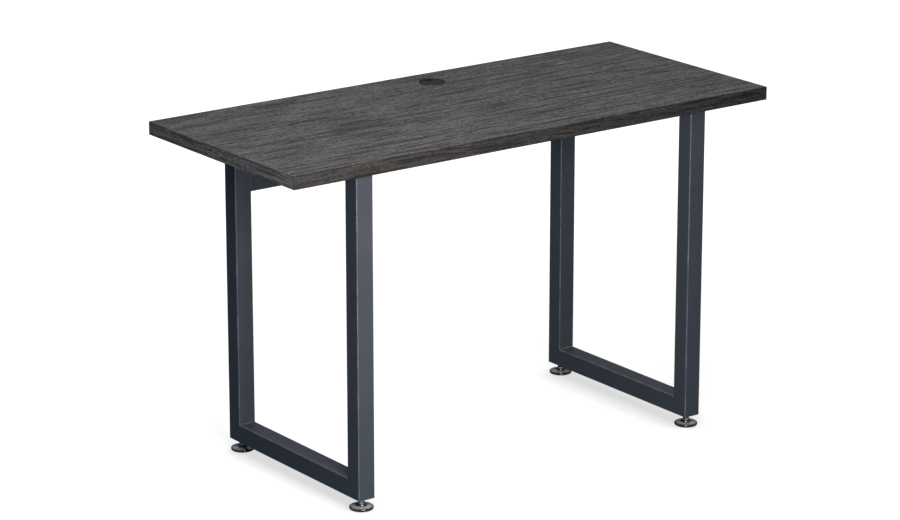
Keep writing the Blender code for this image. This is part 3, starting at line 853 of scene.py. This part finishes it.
def rivet_nut(low, high, wall_low, wall_high):
    """A rivet nut: a thin flange under the rail, a body through its wall and a bulge above it."""
    bore, body, bulge, flange = 0.0043, 0.0054, 0.0066, 0.0075
    bore_ease, end_ease = 0.0003, 0.0004
    bulge_middle, bulge_top = wall_high + 0.0012, wall_high + 0.0028
    profile = [
        (bore, low + bore_ease), (bore + bore_ease, low), (flange - end_ease, low),
        (flange, low + bore_ease), (flange, wall_low), (body, wall_low), (body, wall_high),
    ]
    profile += arc((body, bulge_middle), bulge - body, -90, 90, 8)
    profile += [(body, bulge_top), (body, high - end_ease), (body - end_ease, high), (bore, high)]
    return turned("rivet_nut", profile, MEDIUM, closed=True)


def make_feet(materials):
    """Four screw feet: a disc, a stud that turns in it, and a rivet nut in the bottom rail."""
    pad_low, pad_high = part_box("foot_pad_front_left")
    pad_mesh = foot_pad((pad_high.x - pad_low.x) / 2, pad_high.z)
    stem_low, stem_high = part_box("foot_stem_front_left")
    stem_mesh = foot_stud(stem_low.z, stem_high.z)
    nut_low, nut_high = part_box("foot_nut_front_left")
    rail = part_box("left_bottom_rail")[0].z
    nut_mesh = rivet_nut(nut_low.z, nut_high.z, rail, rail + WALL)
    for end in ENDS:
        for side in SIDES:
            place = middle_of(f"foot_pad_{end}_{side}")
            place.z = 0
            for piece, node, mesh, material in (
                ("foot_disc", "foot_pad", pad_mesh, "gloss"),
                ("foot_stud", "foot_stem", stem_mesh, "zinc"),
                ("rivet_nut", "foot_nut", nut_mesh, "zinc"),
            ):
                placed = moved(mesh, place)
                stand_in(f"{end}_{side}_{piece}", f"{node}_{end}_{side}", placed, materials[material])


# ---- cable grommet ----


def make_grommet_ring(materials, middle, top):
    """The liner: a flange with a rolled edge, a recess and ledge for the cap, and a barbed barrel."""
    flange, barrel, bore, recess = 0.0285, 0.0246, 0.0215, 0.0238
    ledge, bottom, roll, ease = -0.0012, -0.0245, 0.0012, 0.0004
    barb_out, barb_tall, barb_step = 0.0003, 0.0016, 0.0001
    profile = [(bore + ease, bottom), (barrel - 0.0006, bottom), (barrel, bottom + 0.0008)]
    for lift in (0.0045, 0.0085, 0.0125):
        barb = bottom + lift
        profile += [
            (barrel, barb), (barrel + barb_out, barb + barb_tall), (barrel, barb + barb_tall + barb_step),
        ]
    profile += [(barrel, 0), (flange - 0.0002, 0), (flange, 0.0002)]
    profile += arc((flange - roll, top - roll), roll, 0, 90, 7)
    profile += [
        (recess + ease, top - 0.00005), (recess, top - ease), (recess, ledge), (bore + 0.0003, ledge),
        (bore, ledge - 0.0003), (bore, bottom + ease),
    ]
    mesh = moved(turned("cable_grommet_ring", profile, FINE, closed=True), middle)
    stand_in("cable_grommet_ring", "grommet_liner", mesh, materials["texture"])


def slot_outline(half_width, inner_end, far):
    """A slot with a round inner end, open towards +Y."""
    round_end = arc((0, inner_end + half_width), half_width, 180, 360, 24)
    return [(half_width, far), (-half_width, far), *round_end]


def make_grommet_cap(materials, middle, top):
    """The cap: a disc with a skirt, a ring groove, the cables' slot, and a pin with a lip underneath."""
    radius, skirt_out, skirt_in, deep = 0.0234, 0.0209, 0.0195, 0.009
    pin, lip, pin_bottom, lip_top = 0.0025, 0.0042, -0.0035, -0.0027
    groove, groove_wide, groove_deep = 0.0207, 0.0006, 0.0003
    low, ease = top - CAP_THICKNESS, 0.0003
    skirt_low, groove_floor = low - deep, groove_wide * 0.6
    profile = [
        (0, pin_bottom), (pin, pin_bottom), (lip, lip_top - ease), (lip, lip_top), (pin, lip_top),
        (pin, low - ease), (pin + ease, low), (skirt_in, low), (skirt_in, skirt_low + ease),
        (skirt_in + ease, skirt_low), (skirt_out - ease, skirt_low), (skirt_out, skirt_low + 2 * ease),
        (skirt_out, low), (radius - ease, low), (radius, low + ease),
    ]
    profile += arc((radius - 2 * ease, top - 2 * ease), 2 * ease, 0, 90, 5)
    profile += [
        (groove + groove_wide, top), (groove + groove_floor, top - groove_deep),
        (groove - groove_floor, top - groove_deep), (groove - groove_wide, top), (0, top),
    ]
    disc = turned("cable_grommet_cap", profile, FINE)
    slot_half_width, slot_inner_end = 0.009, 0.006
    outline = slot_outline(slot_half_width, slot_inner_end, radius * 1.2)
    mesh = carved(disc, [extruded("slot", outline, -BEYOND * 3, BEYOND)])
    stand_in("cable_grommet_cap", "grommet_cap", moved(mesh, middle), materials["texture"])


def make_grommet_shutter(materials, middle, cap_low):
    """The shutter: a quarter disc with a hub round the cap's pin, and eased edges."""
    half_angle, radius, hub, hole, arc_steps = 48, 0.0190, 0.0055, 0.0029, 28
    thickness, clearance, ease = 0.0012, 0.0003, 0.0002
    high = cap_low - clearance
    low = high - thickness
    loops = []
    for z, less in ((low, ease), (low + ease, 0), (high - ease, 0), (high, ease)):
        outline = arc((0, 0), radius - less, -90 - half_angle, -90 + half_angle, arc_steps)
        outline += arc((0, 0), hub - less, -90 + half_angle, 270 - half_angle, arc_steps)
        loops.append([(x, y, z) for x, y in outline])
    plate = skinned("cable_grommet_shutter", loops, capped=True)
    mesh = carved(plate, [cylinder((0, 0), hole, low - BEYOND, high + BEYOND)])
    stand_in("cable_grommet_shutter", "grommet_shutter", moved(mesh, middle), materials["texture"])


def make_grommet(materials):
    middle = middle_of("grommet_liner")
    middle.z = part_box("desktop_board")[1].z
    make_grommet_ring(materials, middle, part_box("grommet_liner")[1].z - middle.z)
    cap_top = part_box("grommet_cap")[1].z - middle.z
    make_grommet_cap(materials, middle, cap_top)
    make_grommet_shutter(materials, middle, cap_top - CAP_THICKNESS)


# ---- CAD nodes that stay ----


def dress_hidden_nodes(materials):
    """The inserts and stubs keep their CAD shape, out of sight inside the board and the stretcher."""
    kept = {f"{side}_stretcher_stub": "coat" for side in SIDES}
    kept.update({f"{side}_top_insert_{number}": "zinc" for side in SIDES for number in (1, 2, 3)})
    for node, material in kept.items():
        mesh = frame["nodes"][node].data
        mesh.materials.clear()
        mesh.materials.append(materials[material])


# ---- studio ----


def make_floor():
    """A pale floor that glows white to the camera, with soft cast shadows under the desk and painted contact
    shade by the feet and rails. What mirrors it sees it darker.
    """
    shape = bmesh.new()
    bmesh.ops.create_grid(shape, x_segments=1, y_segments=1, size=FLOOR_REACH)
    mesh = bpy.data.meshes.new("floor")
    shape.to_mesh(mesh)
    shape.free()
    material = bpy.data.materials.new("pale_floor")
    material.use_nodes = True
    tree = material.node_tree
    mirrored = tree.nodes["Principled BSDF"]
    mirrored.inputs["Roughness"].default_value = 0.9
    mirrored.inputs["Specular IOR Level"].default_value = 0.1
    mirrored.inputs["Base Color"].default_value = (0.04, 0.08, 0.14, 1)
    shown = add(tree, "BsdfDiffuse", Color=(0.36, 0.36, 0.36, 1))
    place = add(tree, "TexCoord").outputs["Object"]
    distance = add(tree, "VectorMath", {"operation": "LENGTH"}, v0=place).outputs["Value"]
    strength = spread(tree, distance, NEAR_FLOOR, FAR_FLOOR, NEAR_GLOW, 1.0)
    glow = add(tree, "Emission", Color=WHITE, Strength=strength)
    lit = add(tree, "AddShader", v0=shown.outputs["BSDF"], v1=glow.outputs["Emission"])
    # Painted contact shade: where ambient occlusion finds a foot or a rail close by, the floor shows a flat
    # grey instead of its glow.
    painted_contact_shade = add(tree, "Emission", Color=(0.70, 0.70, 0.71, 1), Strength=1.0)
    open_sky = add(tree, "AmbientOcclusion", {"samples": 16}, Distance=CONTACT_REACH).outputs["AO"]
    openness = spread(tree, open_sky, 0.45, 0.95)
    shaded = add(tree, "MixShader", v0=openness, v1=painted_contact_shade.outputs["Emission"], v2=lit.outputs["Shader"])
    seen = add(tree, "LightPath").outputs["Is Camera Ray"]
    both = add(tree, "MixShader", v0=seen, v1=mirrored.outputs["BSDF"], v2=shaded.outputs["Shader"])
    tree.links.new(both.outputs["Shader"], tree.nodes["Material Output"].inputs["Surface"])
    mesh.materials.append(material)
    floor = bpy.data.objects.new("floor", mesh)
    bpy.context.scene.collection.objects.link(floor)


def area_light(name, place, target, size, power, colour=(1, 1, 1)):
    light = bpy.data.lights.new(name, "AREA")
    light.shape = "RECTANGLE"
    light.size, light.size_y = size
    light.energy = power
    light.color = colour
    lamp = bpy.data.objects.new(name, light)
    lamp.location = place
    lamp.rotation_mode = "QUATERNION"
    lamp.rotation_quaternion = (target - place).to_track_quat("-Z", "Y")
    lamp.visible_camera = False
    bpy.context.scene.collection.objects.link(lamp)


def make_light():
    """Soft studio light: a softbox overhead, a warmer key in front and a surround brighter high up."""
    centre = (CAD_BOX[0] + CAD_BOX[1]) / 2
    above, ahead = centre + Vector((-0.6, 0.5, 2.6)), centre + Vector((-0.75, -1.55, 0.55))
    area_light("overhead", above, centre, size=(2.8, 2.2), power=24)
    near_left = centre + Vector((-0.2, 0, 0))
    area_light("key", ahead, near_left, size=(0.8, 0.8), power=62, colour=(1, 0.945, 0.87))
    world = bpy.data.worlds.new("studio")
    world.use_nodes = True
    tree = world.node_tree
    surround = tree.nodes["Background"]
    direction = add(tree, "TexCoord").outputs["Generated"]
    height = add(tree, "SeparateXYZ", Vector=direction).outputs["Z"]
    low_down, high_up = (0.025, 0.045, 0.085, 1), (0.75, 0.76, 0.78, 1)
    tree.links.new(mix(tree, spread(tree, height, 0.30, 0.62), low_down, high_up), surround.inputs["Color"])
    white = add(tree, "Background", Color=WHITE, Strength=1.0)
    seen = add(tree, "LightPath").outputs["Is Camera Ray"]
    both = add(
        tree, "MixShader", v0=seen, v1=surround.outputs["Background"], v2=white.outputs["Background"]
    )
    tree.links.new(both.outputs["Shader"], tree.nodes["World Output"].inputs["Surface"])
    bpy.context.scene.world = world
    bpy.context.scene.view_settings.view_transform = "Standard"


def make_camera():
    camera = bpy.data.cameras.new("camera")
    camera.lens = LENS
    camera.clip_end = 100
    eye = bpy.data.objects.new("camera", camera)
    level, rise = math.cos(VIEW_ELEVATION), math.sin(VIEW_ELEVATION)
    back = Vector((math.sin(VIEW_AZIMUTH) * level, -math.cos(VIEW_AZIMUTH) * level, rise))
    eye.location = AIM + VIEW_DISTANCE * back
    eye.rotation_mode = "QUATERNION"
    eye.rotation_quaternion = (-back).to_track_quat("-Z", "Y")
    bpy.context.scene.collection.objects.link(eye)
    bpy.context.scene.camera = eye


def main():
    materials = make_materials()
    make_panel(materials)
    make_bands(materials)
    make_frames(materials)
    make_stretcher(materials)
    make_screws(materials)
    make_feet(materials)
    make_grommet(materials)
    dress_hidden_nodes(materials)
    make_floor()
    make_light()
    make_camera()


main()
